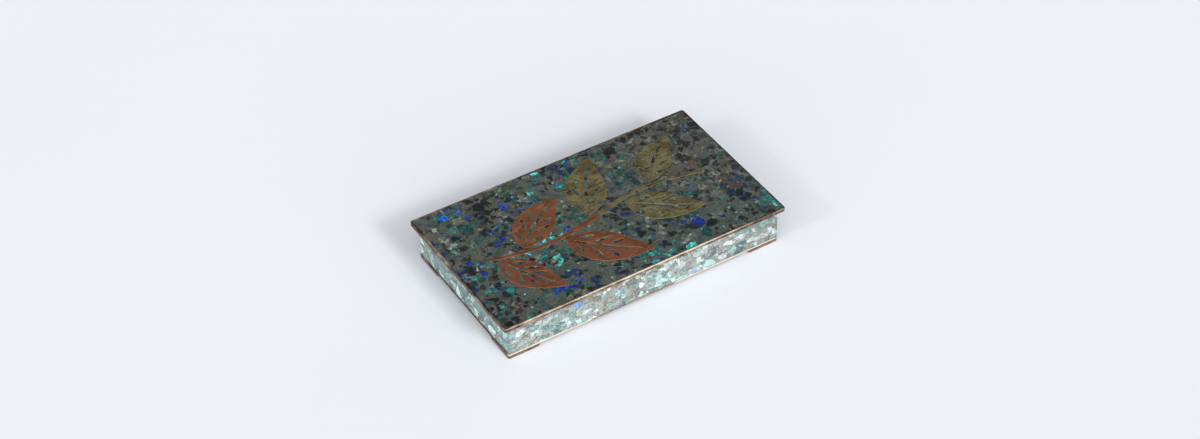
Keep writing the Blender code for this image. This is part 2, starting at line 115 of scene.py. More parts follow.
class Look(Nodes):
    """A material being made."""

    def __init__(self, name):
        self.material = bpy.data.materials.new(name)
        self.material.use_nodes = True
        super().__init__(self.material.node_tree)
        self.shader = self.tree.nodes["Principled BSDF"]
        self.where = self.add("ShaderNodeTexCoord").outputs["Object"]
        self.shader.inputs["IOR"].default_value = 1.5

    def set(self, **sockets):
        for key, value in sockets.items():
            self.put(value, self.shader.inputs[key.replace("_", " ")])
        return self

    def stretched(self, x=1, y=1, z=1, turn=0, where=None):
        inputs = {"Vector": where or self.where, "Scale": (x, y, z), "Rotation": (0, 0, turn)}
        return self.add("ShaderNodeMapping", inputs).outputs[0]

    def noise(self, size, detail=3.0, rough=0.55, warp=0.0, where=None, colour=False):
        """Noise whose features are about this many metres across, from 0 to 1."""
        inputs = {"Vector": where or self.where, "Scale": 1 / size, "Detail": detail,
                  "Roughness": rough, "Distortion": warp}
        return self.add("ShaderNodeTexNoise", inputs).outputs["Color" if colour else "Fac"]

    def cells(self, size, where=None, output="Color", feature="F1"):
        inputs = {"Vector": where or self.where, "Scale": 1 / size}
        return self.add("ShaderNodeTexVoronoi", inputs, feature=feature).outputs[output]

    def ramp(self, value, *stops):
        """Linear colours at places along a value."""
        node = self.add("ShaderNodeValToRGB", {"Fac": value})
        elements = node.color_ramp.elements
        while len(elements) < len(stops):
            elements.new(1)
        for element, (place, colour) in zip(elements, stops):
            element.position = place
            element.color = (*colour, 1)
        return node.outputs["Color"]

    def shades(self, value, *stops):
        """Screen colours at places along a value, each stop given as place, red, green and blue."""
        return self.ramp(value, *((place, srgb(*colour)) for place, *colour in stops))

    def mix(self, share, a, b, blend="MIX"):
        inputs = {0: share, 6: a, 7: b}
        return self.add("ShaderNodeMix", inputs, data_type="RGBA", blend_type=blend).outputs[2]

    def warped(self, size, amount=0.6):
        """Coordinates pushed about by noise, so that cells lose their straight sides."""
        shift = self.noise(size, 2, 0.5, colour=True)
        scaled = self.add("ShaderNodeVectorMath", {0: shift, 1: (amount * size,) * 3}, operation="MULTIPLY")
        return self.add("ShaderNodeVectorMath", {0: self.where, 1: scaled.outputs[0]}).outputs[0]

    def parts(self, colour):
        return self.add("ShaderNodeSeparateColor", {0: colour}).outputs

    def attribute(self, name):
        return self.add("ShaderNodeAttribute", attribute_name=name).outputs["Fac"]

    def lid_places(self):
        """How far a place of the lid is towards its dull right back, and towards its blue front."""
        x, y, _ = self.add("ShaderNodeSeparateXYZ", {0: self.where}).outputs
        dull = self.times(self.between(x, *DULL_X), self.between(y, *DULL_Y))
        return dull, self.between(y, 5 * MM, -45 * MM)

    def sunk(self, own, most):
        """Share of resin over a chip, from none to the most, after the chip's own number."""
        return self.between(self.math("FRACT", self.times(own, 7.3)), 0.35, 1.0, 0.0, most)

    def relief(self, height, depth, strength):
        inputs = {"Height": height, "Distance": depth, "Strength": strength}
        return self.set(Normal=self.add("ShaderNodeBump", inputs).outputs[0])


def worn_metal(name, fresh, aged, dark, streak, edge=None, pits=0.0, rough=(0.32, 0.5), stain=0.5,
               cloud=14 * MM, brushing=1.0, marks=0.0):
    """Old sheet metal: two tones in soft patches, fine scratches along its streaks, and where asked for
    dark pits, light marks and a brighter colour where the tone attribute marks an eased edge, partly
    worn metal and partly a painted highlight. Streak is how much longer than broad the scratches are,
    and the angle they turn by."""
    look = Look(name)
    fresh, aged, dark = srgb(*fresh), srgb(*aged), srgb(*dark)
    along, turn = streak
    lines = look.stretched(1 / along, 1, 1, turn)
    clouds = look.noise(cloud, 4, 0.6, 0.4)
    brushed = look.noise(1.3 * MM, 3, 0.6, 0.5, look.stretched(5 / along, 1, 1, turn))
    aging = look.plus(clouds, look.times(look.math("SUBTRACT", brushed, 0.5), brushing))
    colour = look.mix(look.between(aging, 0.40, 0.62), fresh, aged)
    fine = look.noise(1.6 * MM, 5, 0.65)
    colour = look.mix(look.between(fine, 0.52, 0.75, 0, stain), colour, dark)
    scratch = look.noise(0.25 * MM, 4, 0.6, 0, lines)
    colour = look.mix(look.between(scratch, 0.60, 0.76, 0, 0.55), colour, tuple(1.5 * c for c in fresh))
    colour = look.mix(look.between(scratch, 0.42, 0.26, 0, 0.45), colour, aged)
    height = look.times(scratch, 0.25)
    if pits:
        holes = look.noise(1.1 * MM, 3, 0.65, 0.5, look.stretched(0.14, 1, 1, turn))
        holes = look.between(holes, 0.67 - 0.12 * pits, 0.71 - 0.12 * pits)
        zone = look.between(look.noise(9 * MM, 2), 0.44, 0.56)
        holes = look.times(holes, zone)
        colour = look.mix(look.times(holes, 0.85), colour, dark)
        height = look.math("SUBTRACT", height, holes)
    if marks:
        light = look.noise(0.7 * MM, 2, 0.5, 0.3, look.stretched(0.08, 1, 1, turn + 0.5))
        zone = look.between(look.noise(13 * MM, 2), 0.46, 0.58)
        light = look.times(look.between(light, 0.54, 0.64, 0, marks), zone)
        colour = look.mix(light, colour, tuple(min(1.0, 2.2 * c) for c in fresh))
    # Eased edges in a brighter colour: partly worn metal, partly a painted highlight.
    if edge:
        tone = look.plus(look.attribute("tone"), look.between(fine, 0.3, 0.7, -0.30, 0.30))
        colour = look.mix(look.between(tone, 0.45, 0.8, 0, 0.7), colour, srgb(*edge))
    grain = look.between(fine, 0.3, 0.7, *rough)
    look.set(Base_Color=colour, Metallic=1.0, Roughness=grain)
    return look.relief(height, 0.05 * MM, 0.6).material


def patches(look, colour, row, flat=1.0, share=None):
    """Patches of stone or shell with broken outlines, each of whole small fragments: a fragment is
    in where slow noise at its middle is high. Within a patch each has a shade of its own."""
    seed, cell, patch, low, high, dark, middle, light = row
    cell, patch = cell * MM, patch * MM
    moved = look.add("ShaderNodeVectorMath", {0: look.warped(0.8 * cell), 1: (seed, -seed, 0)})
    where = look.stretched(1 / flat, 1 / flat, 1, 0, moved.outputs[0]) if flat != 1 else moved.outputs[0]
    inputs = {"Vector": where, "Scale": 1 / cell, "Smoothness": 0.16}
    cells = look.add("ShaderNodeTexVoronoi", inputs, feature="SMOOTH_F1")
    inside = look.between(look.noise(patch, 3, 0.62, 0.2, cells.outputs["Position"]), low, high)
    if share is not None:
        inside = look.times(inside, share)
    shade = look.times(look.parts(cells.outputs["Color"])[0], 0.55)
    shade = look.plus(shade, look.between(look.noise(0.6 * MM, 4, 0.65), 0.3, 0.7, 0.0, 0.45))
    return look.mix(inside, colour, look.shades(shade, (0.10, *dark), (0.48, *middle), (0.86, *light)))


def resin_colour(look):
    """Smoky resin full of crushed stone, from the large patches down to the grit."""
    haze = look.noise(17 * MM, 4, 0.6, 0.6)
    colour = look.shades(haze, (0.32, 40, 54, 49), (0.44, 66, 76, 69), (0.53, 84, 88, 80),
                         (0.62, 62, 70, 64), (0.72, 44, 58, 54))
    dull, front = look.lid_places()
    colour = look.mix(look.times(dull, 0.45), colour, srgb(84, 79, 72))
    colour = look.mix(look.times(front, 0.35), colour, srgb(56, 75, 77))
    vivid = look.math("SUBTRACT", 1.0, look.times(dull, 0.75))
    crushed = look.parts(look.cells(0.8 * MM, look.warped(0.5 * MM)))
    pick = look.shades(crushed[0], (0.00, 20, 28, 28), (0.25, 48, 62, 56), (0.50, 92, 92, 80),
                       (0.70, 62, 56, 50), (0.90, 118, 120, 104))
    colour = look.mix(look.between(crushed[1], 0.25, 0.9, 0.0, 0.6), colour, pick)
    for trend, *row in PATCHES:
        colour = patches(look, colour, row, share=(None, vivid, dull)[trend])
    dust = look.noise(0.45 * MM, 3, 0.7)
    colour = look.mix(look.between(dust, 0.58, 0.76, 0, 0.45), colour, srgb(128, 132, 116))
    return look.mix(look.between(dust, 0.45, 0.28, 0, 0.75), colour, srgb(14, 20, 20))


# Stone crushed into the resin: its trend (0 is everywhere, 1 thins out towards the dull side, 2 is
# only there), its seed, the size of a fragment and of a patch in mm, where the patch starts and is
# full, and its dark, middle and light colour
PATCHES = (
    (0, 0.31, 1.7, 14.0, 0.58, 0.65, (16, 38, 34), (34, 66, 60), (66, 118, 104)),
    (1, 0.83, 1.3, 9.0, 0.625, 0.66, (14, 54, 52), (34, 96, 88), (96, 170, 150)),
    (1, 0.57, 2.3, 9.0, 0.585, 0.615, (10, 14, 26), (18, 32, 60), (28, 72, 124)),
    (0, 1.13, 1.6, 7.0, 0.570, 0.600, (5, 6, 6), (13, 14, 13), (42, 40, 36)),
    (0, 1.71, 1.5, 9.0, 0.605, 0.66, (66, 76, 68), (104, 114, 103), (154, 168, 154)),
    (2, 2.37, 1.9, 8.0, 0.625, 0.65, (58, 38, 32), (88, 64, 56), (128, 98, 84)),
    (1, 3.19, 1.5, 7.0, 0.675, 0.69, (10, 62, 66), (36, 142, 138), (150, 240, 226)),
    (1, 4.41, 1.9, 8.0, 0.690, 0.70, (4, 26, 96), (8, 60, 180), (50, 146, 236)),
    (2, 5.31, 1.4, 6.0, 0.54, 0.60, (66, 74, 70), (92, 100, 94), (124, 134, 126)),
    (2, 6.17, 1.7, 6.0, 0.55, 0.60, (18, 22, 24), (36, 44, 48), (54, 64, 66)),
)


def resin(name):
    look = Look(name)
    look.set(Base_Color=resin_colour(look), Roughness=0.34)
    return look.relief(look.noise(1.4 * MM, 3), 0.03 * MM, 0.5).material


# Share of the resin's colour that lies over the most sunken chips of stone and of shell, and how
# much more lies over the stone at the lid's dull side, which comes on between these places
MURK = 0.55
SHELL_MURK = 0.35
DULL_MURK = 0.15
DULL_X = (0 * MM, 70 * MM)
DULL_Y = (-40 * MM, -15 * MM)


def stone(name, dark, middle, light, painted_glow):
    """A polished chip, darker or lighter from chip to chip, with a dark line where its broken edge
    goes down into the resin, partly the stone's own dark edge and partly painted shade of the crevice."""
    look = Look(name)
    own = look.attribute("own")
    depth = look.plus(look.sunk(own, MURK), look.times(look.lid_places()[0], DULL_MURK))
    facets = look.parts(look.cells(1.3 * MM, look.warped(0.9 * MM)))
    grain = look.noise(0.8 * MM, 4, 0.65, 0.8)
    value = look.plus(look.times(facets[0], 0.50), look.times(grain, 0.56))
    value = look.plus(value, look.between(own, 0, 1, -0.31, 0.09))
    colour = look.shades(value, (0.16, *dark), (0.48, *middle), (0.84, *light))
    broken = look.noise(1.3 * MM, 4, 0.7)
    edge = look.plus(look.attribute("tone"), look.between(broken, 0.32, 0.68, -0.95, 0.35))
    smoke = resin_colour(look)
    # Dark line at the chip's edge: partly the stone's own dark colour, partly painted shade where the edge
    # goes down into the resin.
    shade = look.mix(look.between(edge, -0.15, 0.20), smoke, srgb(*dark))
    colour = look.mix(look.between(edge, 0.05, 0.60), shade, look.mix(depth, colour, smoke))
    look.set(Base_Color=colour, Roughness=0.3)
    # Painted glow: cobalt and turquoise chips give off light of their own colour, standing in for light
    # flashing back from inside the stone.
    if painted_glow:
        painted_glow_colour = look.mix(look.between(edge, 0.3, 0.9), (0.0, 0.0, 0.0), colour)
        look.set(Emission_Color=painted_glow_colour, Emission_Strength=painted_glow)
    return look.relief(facets[1], 0.05 * MM, 0.5).material


def tinted_and_shaded_by_place(look, colour):
    """Shell paler towards the left of the long sides and greyer towards their right, aqua and
    stronger in contrast on the short sides, and darkened brown along the top by painted shade,
    where the lid lies over it."""
    x, _, z = look.add("ShaderNodeSeparateXYZ", {0: look.where}).outputs
    fade = look.between(x, 0 * MM, 90 * MM, 1.14, 0.84)
    ends = look.between(look.math("ABSOLUTE", x), SHORT_SIDE - 1.5 * MM, SHORT_SIDE)
    colour = look.mix(look.times(ends, SHORT_CONTRAST), colour, colour, "MULTIPLY")
    colour = look.mix(1.0, colour, look.mix(ends, fade, SHORT_TINT), "MULTIPLY")
    # Painted shade under the lid's overhang: the top of the shell darkened brown, broken up by noise, more
    # towards the left.
    uneven = look.times(look.between(look.noise(2.5 * MM, 3), 0.3, 0.7, -0.8, 0.8), MM)
    stain = look.between(look.plus(z, uneven), 21.6 * MM, 23.0 * MM, 0.0, 0.6)
    stain = look.times(stain, look.between(x, 50 * MM, -30 * MM, 0.3, 1.0))
    return look.mix(stain, colour, srgb(112, 96, 84))


# Where the faces of the short sides are, how much of their colour is multiplied by itself, and the
# tint that multiplies it after that
SHORT_SIDE = 101.0 * MM
SHORT_CONTRAST = 0.40
SHORT_TINT = (1.14, 1.37, 1.42)


def pearl(name, dark, middle, light):
    """A chip of shell: bands of growth, with a play of pink, aqua and violet over them."""
    look = Look(name)
    own = look.attribute("own")
    angle = look.times(own, 2 * math.pi)
    turned = look.add("ShaderNodeVectorRotate", {"Vector": look.where, "Axis": (1, 1, 0), "Angle": angle})
    bands = look.noise(2.0 * MM, 4, 0.6, 1.2, look.stretched(1, 1, 3.2, where=turned.outputs[0]))
    value = look.plus(look.times(bands, 1.5), look.between(own, 0, 1, -0.66, -0.12))
    facets = look.parts(look.cells(1.5 * MM, look.warped(1.0 * MM)))
    value = look.plus(value, look.times(facets[0], 0.22))
    colour = look.shades(value, (0.20, *dark), (0.44, *middle), (0.66, *light))
    play = look.noise(2.6 * MM, 3, 0.5, 2.0)
    tint = look.shades(play, (0.34, 200, 188, 210), (0.44, 224, 232, 228), (0.52, 168, 216, 208),
                       (0.60, 232, 226, 216), (0.70, 170, 186, 226))
    colour = look.mix(0.45, colour, tint, "MULTIPLY")
    broken = look.noise(1.6 * MM, 4, 0.65)
    edge = look.plus(look.attribute("tone"), look.between(broken, 0.32, 0.68, -0.50, 0.30))
    smoke = shell_resin_colour(look)
    line = look.mix(look.between(edge, -0.15, 0.20, 0.0, 0.6), smoke, srgb(92, 80, 71))
    chip_colour = look.mix(look.sunk(own, SHELL_MURK), colour, smoke)
    colour = look.mix(look.between(edge, 0.12, 0.60), line, chip_colour)
    colour = tinted_and_shaded_by_place(look, colour)
    look.set(Base_Color=colour, Roughness=0.24, Coat_Weight=0.6, Coat_Roughness=0.08)
    return look.relief(bands, 0.12 * MM, 0.7).material


def shell_resin_colour(look):
    """Silver grey resin, with brown grey swirls, and crushed shell in it."""
    haze = look.noise(9 * MM, 4, 0.62, 1.8, look.stretched(0.6, 0.6, 1))
    colour = look.shades(haze, (0.30, 88, 82, 75), (0.42, 124, 122, 115), (0.52, 148, 154, 148),
                         (0.62, 128, 136, 131), (0.72, 98, 101, 96))
    crushed = look.parts(look.cells(1.2 * MM, look.warped(0.9 * MM)))
    pick = look.shades(crushed[0], (0.0, 83, 78, 72), (0.3, 120, 156, 151), (0.6, 174, 185, 180),
                       (0.85, 92, 122, 125))
    colour = look.mix(look.between(crushed[1], 0.35, 0.9, 0, 0.6), colour, pick)
    for row in SWIRLS:
        colour = patches(look, colour, row, flat=1.25)
    cracks = look.cells(3.0 * MM, look.warped(1.6 * MM, 0.9), "Distance", "DISTANCE_TO_EDGE")
    shown = look.between(look.noise(5 * MM, 2), 0.42, 0.56, 0.0, 0.75)
    cracks = look.times(look.between(cracks, 0.11, 0.03), shown)
    return look.mix(cracks, colour, srgb(80, 66, 57))


# Shell crushed into the resin of the sides, as PATCHES but without a trend
SWIRLS = (
    (0.21, 2.2, 6.0, 0.55, 0.60, (68, 63, 58), (106, 102, 94), (140, 139, 130)),
    (0.93, 2.6, 6.0, 0.56, 0.60, (152, 165, 162), (189, 199, 195), (224, 234, 233)),
    (0.47, 2.2, 6.0, 0.55, 0.60, (56, 100, 100), (108, 156, 152), (172, 208, 204)),
    (1.37, 1.8, 5.0, 0.650, 0.68, (80, 102, 148), (108, 140, 192), (170, 198, 226)),
)


def shell_resin(name):
    look = Look(name)
    colour = tinted_and_shaded_by_place(look, shell_resin_colour(look))
    look.set(Base_Color=colour, Roughness=0.3, Coat_Weight=0.5, Coat_Roughness=0.12)
    return look.relief(look.noise(1.2 * MM, 3), 0.06 * MM, 0.6).material


def cedar(name, along_x):
    """Red brown wood, with growth lines and pores along the board."""
    look = Look(name)
    bent = look.warped(40 * MM, 0.06)
    grain = look.stretched(*((0.04, 1, 1) if along_x else (1, 0.04, 1)), where=bent)
    broad = look.noise(9 * MM, 3, 0.5, 0.6, grain)
    rings = look.math("SINE", look.times(broad, 70.0))
    lines = look.plus(look.times(rings, 0.10), look.noise(1.3 * MM, 4, 0.6, 0.6, grain))
    colour = look.shades(lines, (0.30, 98, 54, 34), (0.44, 142, 86, 54), (0.58, 168, 110, 72),
                         (0.72, 120, 70, 44))
    colour = look.mix(look.between(broad, 0.36, 0.62, 0.0, 0.35), colour, srgb(150, 88, 58))
    pores = look.noise(0.20 * MM, 3, 0.6, 0, grain)
    colour = look.mix(look.between(pores, 0.58, 0.70, 0, 0.7), colour, srgb(64, 34, 22))
    look.set(Base_Color=colour, Roughness=0.6)
    return look.relief(pores, -0.08 * MM, 0.6).material


# Shapes


def placed(name, data):
    item = bpy.data.objects.new(name, data)
    bpy.context.scene.collection.objects.link(item)
    return item


def make(name, mesh_data, body, materials, replaces=()):
    """Adds a piece that rides on a body. Mesh data holds, besides vertices and faces, the tone of
    each vertex, the material of each face, and a number from 0 to 1 that each chip has for its own."""
    vertices, faces, tones, kinds, owns = mesh_data
    mesh = bpy.data.meshes.new(name)
    mesh.from_pydata(vertices, [], faces)
    mesh.attributes.new("tone", "FLOAT", "POINT").data.foreach_set("value", tones)
    if owns:
        mesh.attributes.new("own", "FLOAT", "POINT").data.foreach_set("value", owns)
    for material in materials:
        mesh.materials.append(material)
    if kinds:
        mesh.polygons.foreach_set("material_index", kinds)
    piece = placed(name, mesh)
    mesh.shade_smooth()
    mesh.set_sharp_from_angle(angle=math.radians(38))
    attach(piece, body)
    if replaces:
        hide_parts(*replaces)
    return piece


def edges_of(loop):
    """Each point of a closed loop together with the one after it."""
    return zip(loop, loop[1:] + loop[:1])


def offset(loop, amount):
    """The loop with every point moved to the right of its direction of travel."""
    moved = []
    for index, point in enumerate(loop):
        before = (point - loop[index - 1]).normalized()
        after = (loop[(index + 1) % len(loop)] - point).normalized()
        normal = Vector((before.y + after.y, -before.x - after.x)).normalized()
        spread = max(normal.dot(Vector((before.y, -before.x))), 0.4)
        moved.append(point + normal * amount / spread)
    return moved


def slab(loops, rings, tone=None):
    """A sheet from plan outlines, the first anticlockwise and its holes clockwise. Each ring is
    an inset, a height and a tone, from the underside up."""
    vertices, faces, tones = [], [], []
    for inset, height, wear_and_highlight in rings:
        for loop in loops:
            for point in offset(loop, -inset) if inset else loop:
                vertices.append(Vector((point.x, point.y, height)))
                tones.append(tone(point, height, wear_and_highlight) if tone else wear_and_highlight)
    total = sum(len(loop) for loop in loops)
    start = 0
    for loop in loops:
        for ring in range(len(rings) - 1):
            base = ring * total + start
            for i in range(len(loop)):
                a, b = base + i, base + (i + 1) % len(loop)
                faces.append((a, b, b + total, a + total))
        start += len(loop)
    for ring, up in ((0, False), (len(rings) - 1, True)):
        base = ring * total
        lists, at = [], base
        for loop in loops:
            lists.append(vertices[at : at + len(loop)])
            at += len(loop)
        for a, b, c in tessellate_polygon(lists):
            p, q, r = (vertices[base + i] for i in (a, b, c))
            if ((q - p).cross(r - p).z > 0) != up:
                b, c = c, b
            faces.append((base + a, base + b, base + c))
    return vertices, faces, tones, None, None


def rounded_rectangle(low, high, inset, radius, steps=5):
    """Anticlockwise plan outline with round corners."""
    points = []
    left, front = low.x + inset + radius, low.y + inset + radius
    right, back = high.x - inset - radius, high.y - inset - radius
    for x, y, start in ((left, front, 180), (right, front, 270), (right, back, 0), (left, back, 90)):
        for step in range(steps + 1):
            angle = math.radians(start + 90 * step / steps)
            points.append(Vector((x + radius * math.cos(angle), y + radius * math.sin(angle))))
    return points


def divided(loop, pace, sway=0.0, seed=0, waves=90):
    """The loop with points about this far apart, swayed as hand work is, so many waves to a metre."""
    points = []
    for point, following in edges_of(loop):
        count = max(1, round((following - point).length / pace))
        points += [point.lerp(following, step / count) for step in range(count)]
    if sway:
        for point in points:
            drift = noise.noise_vector(Vector((point.x * waves, point.y * waves, seed)))
            point += Vector((drift.x, drift.y)) * sway
    return points


def ragged(outline, pace, sway):
    """The outline broken into short steps that wander as a fracture does."""
    return divided(outline, pace, sway, 17, 520)


def top_loops(node):
    """Outlines of a CAD sheet's top face in plan: the outer one, anticlockwise, and then its holes,
    clockwise, as the sheet's faces run."""
    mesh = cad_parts[node].data
    top = max(v.co.z for v in mesh.vertices)
    edges = {}
    for face in mesh.polygons:
        corners = [mesh.vertices[i].co for i in face.vertices]
        if face.normal.z > 0.9 and all(abs(c.z - top) < 0.01 * MM for c in corners):
            keys = [(round(c.x / MM, 4), round(c.y / MM, 4)) for c in corners]
            edges.update(dict.fromkeys(edges_of(keys)))
    rest = {a: b for a, b in edges if (b, a) not in edges}
    loops = []
    while rest:
        first = min(rest)
        loop, at = [], first
        while at in rest:
            loop.append(Vector(at) * MM)
            at = rest.pop(at)
        loops.append(loop)
    return sorted(loops, key=len, reverse=True)


def smoothed(loop, corner=math.tau, steps=3):
    """A finer loop through the same points. It stays sharp where it turns more than corner."""
    fine = []
    count = len(loop)

    def sharp(index):
        a, b, c = (loop[(index + k) % count] for k in (-1, 0, 1))
        return (b - a).angle(c - b) > corner

    for i in range(count):
        p0, p1, p2, p3 = (loop[(i + k) % count] for k in (-1, 0, 1, 2))
        if sharp(i):
            p0 = p1 * 2 - p2
        if sharp(i + 1):
            p3 = p2 * 2 - p1
        for step in range(steps):
            t = step / steps
            a = p1 * 2
            b = p2 - p0
            c = p0 * 2 - p1 * 5 + p2 * 4 - p3
            d = p1 * 3 - p0 - p2 * 3 + p3
            fine.append((a + b * t + c * t * t + d * t * t * t) / 2)
    return fine


def clipped(polygon, point, normal):
    """The part of a convex polygon behind a line through point."""
    kept = []
    for a, b in edges_of(polygon):
        da, db = (a - point).dot(normal), (b - point).dot(normal)
        if da <= 0:
            kept.append(a)
        if (da < 0 < db) or (db < 0 < da):
            kept.append(a.lerp(b, da / (da - db)))
    return kept


def middle_of(polygon):
    return sum(polygon, Vector((0, 0))) / len(polygon)


def area_of(polygon):
    return sum(a.x * b.y - a.y * b.x for a, b in edges_of(polygon)) / 2


def scattered(rng, width, height, mean, swing, piece, tries=9):
    """Points over a rectangle, each the best of a few tries. The distances wanted, in mm, swing
    about the mean, in the piece's own slice of the noise."""

    def spacing(x, y):
        return (mean + swing * noise.noise(Vector((x * 60, y * 60, piece)))) * MM

    points, buckets, size = [], {}, 12 * MM
    middle = spacing(width / 2, height / 2)
    for _ in range(int(width * height / middle**2)):
        best, best_room = None, -1
        for _ in range(tries):
            x, y = rng.random() * width, rng.random() * height
            gx, gy = int(x // size), int(y // size)
            room = size
            for bucket in ((gx + i, gy + j) for i in (-1, 0, 1) for j in (-1, 0, 1)):
                for q in buckets.get(bucket, ()):
                    room = min(room, math.hypot(q.x - x, q.y - y))
            room /= spacing(x, y)
            if room > best_room:
                best, best_room = Vector((x, y)), room
        points.append(best)
        buckets.setdefault((int(best.x // size), int(best.y // size)), []).append(best)
    return points


def broken_cells(rng, width, height, spacing, piece, reach=20 * MM):
    """Voronoi cells of points scattered over a rectangle."""
    points = scattered(rng, width, height, *spacing, piece)
    cells = []
    for point in points:
        cell = [Vector((0, 0)), Vector((width, 0)), Vector((width, height)), Vector((0, height))]
        near = [q for q in points if q is not point and (q - point).length < reach]
        for q in sorted(near, key=lambda q: (q - point).length):
            cell = clipped(cell, (point + q) / 2, q - point)
        cells.append(cell)
    return [cell for cell in cells if len(cell) > 2]


# Steps of this share of 1 spread numbers evenly and without order
GOLDEN = 0.618034


def chip(data, outline, place, sink, top, lean, kind, soft=0.42):
    """Adds a closed chip that sinks this deep and stands this high, with an eased top edge over at
    most the soft share of its radius. Place maps plan and height to a point."""
    vertices, faces, tones, kinds, owns = data
    own = (owns[-1] + GOLDEN) % 1.0 if owns else GOLDEN
    middle = middle_of(outline)
    radius = math.sqrt(abs(area_of(outline)) / math.pi)
    inner = max(1 - 1.0 * MM / radius, 1 - soft)
    rings = ((1.0, -sink, 0.0), (1.0, 0.2 * top, 0.0), (inner, top, 1.0))
    start, count = len(vertices), len(outline)
    for scale, height, tone in rings:
        for point in outline:
            away = (point - middle) * scale
            tilt = away.dot(lean) if height > 0 else 0.0
            vertices.append(place(middle + away, height + tilt))
            tones.append(tone)
            owns.append(own)
    last = start + (len(rings) - 1) * count
    for base in range(start, last, count):
        for i in range(count):
            a, b = base + i, base + (i + 1) % count
            faces.append((a, b, b + count, a + count))
    faces.append(tuple(range(last, last + count)))
    faces.append(tuple(range(start + count - 1, start - 1, -1)))
    kinds += [kind] * (len(faces) - len(kinds))


def chipped(cell, rng, jitter, cleaved, slope):
    """A broken chip from a cell, and how it leans: its size drawn, its corners pushed about, and most
    chips cleaved along a line or two as stone splits."""
    middle = middle_of(cell)
    shrink = rng.uniform(0.94, 1.18)
    corners = [middle + (p - middle) * shrink * rng.uniform(1 - jitter, 1) for p in cell]
    radius = math.sqrt(abs(area_of(cell)) / math.pi)
    for _ in range(2):
        angle = rng.uniform(0, 2 * math.pi)
        depth = rng.uniform(0.15, 0.7)
        if rng.random() < cleaved and len(corners) > 2:
            normal = Vector((math.cos(angle), math.sin(angle)))
            corners = clipped(corners, middle + normal * radius * depth, normal)
    return corners, Vector((rng.uniform(-1, 1), rng.uniform(-1, 1))) * slope


# Lid


def eased(value, start, end):
    """A smooth step from 0 at the start to 1 at the end."""
    share = clamped((value - start) / (end - start))
    return share * share * (3 - 2 * share)


def clamped(value, low=0.0, high=1.0):
    return min(high, max(low, value))


def held(loop):
    """The loop kept inside the lid's own outline."""
    return [Vector((clamped(p.x, LID_LOW.x, LID_HIGH.x), clamped(p.y, LID_LOW.y, LID_HIGH.y))) for p in loop]


def lid_outline(inset, radius=1.5 * MM):
    return rounded_rectangle(LID_LOW, LID_HIGH, inset, max(radius - inset, 0.4 * MM))


# Stretches of the lid's left edge, from the front back, that are brighter gold
GOLD_STRETCHES = ((-57 * MM, -40 * MM), (4 * MM, 46 * MM))


def lid_tone(point, height, wear_and_highlight):
    """How golden the lid's metal is at a place: in front gold along the top, browner at the ends,
    over a pinkish side, olive brown at the back, dark with brighter gold stretches on the left, dark
    on the right, and darker along the inner edge by the resin. The gold along the top in front is
    partly worn metal and partly a painted highlight; the darker back and sides are partly patina and
    partly painted shade. The ring value is 1 on the top of the edge and less on its sides."""
    x, y = point.x, point.y
    patch = noise.noise(Vector((x * 150, y * 150, height * 400)))
    wear = noise.noise(Vector((x * 34 + 7, y * 62, 3)))
    worn_more = max(0.0, wear)
    edge = 1.6 * MM
    depth = min(x - LID_LOW.x, LID_HIGH.x - x, y - LID_LOW.y, LID_HIGH.y - y)
    # Partly painted light: the top of the front edge bright gold as a painted highlight, the other edges
    # darker as painted shade.
    if y < LID_LOW.y + edge:
        middle = eased(x, -50 * MM, -10 * MM) * eased(x, 75 * MM, 35 * MM)
        right_end = eased(x, 55 * MM, 95 * MM)
        base = 0.74 + 0.22 * middle - 0.20 * right_end if wear_and_highlight > 0.6 else 0.20 + 0.5 * wear_and_highlight
        base -= 0.60 * worn_more * (1.0 - middle)
        inner = 0.30 + 0.20 * worn_more
    elif y > LID_HIGH.y - edge:
        base = 0.27 + 0.5 * wear
        inner = 0.0
    elif x < 0:
        in_gold_stretch = max(eased(y, start, start + 6 * MM) * eased(y, end, end - 6 * MM) for start, end in GOLD_STRETCHES)
        base = 0.19 + 0.3 * worn_more + (0.46 if wear_and_highlight > 0.9 else 0.12) * in_gold_stretch
        inner = 0.05
    else:
        base = 0.22 + 0.4 * worn_more
        inner = 0.04
    if depth > 0.5 * MM:
        base -= inner
    return clamped(base + 0.26 * patch)


def rim_metal(name):
    """Tone runs from dark copper brown over pinkish copper to bright gold, partly patina and wear and partly
    painted shade and painted highlight.
    """
    look = Look(name)
    fine = look.noise(0.7 * MM, 4, 0.65)
    wear_and_highlight = look.plus(look.attribute("tone"), look.between(fine, 0.3, 0.7, -0.12, 0.12))
    tone = look.plus(wear_and_highlight, look.between(look.noise(5 * MM, 3), 0.3, 0.7, -0.12, 0.12))
    colour = look.shades(tone, (0.08, 72, 50, 43), (0.30, 118, 92, 80), (0.48, 178, 152, 132),
                         (0.66, 222, 198, 162), (0.85, 255, 243, 216))
    look.set(Base_Color=colour, Metallic=1.0, Roughness=look.between(tone, 0.2, 0.8, 0.5, 0.3))
    return look.relief(fine, 0.06 * MM, 0.7).material


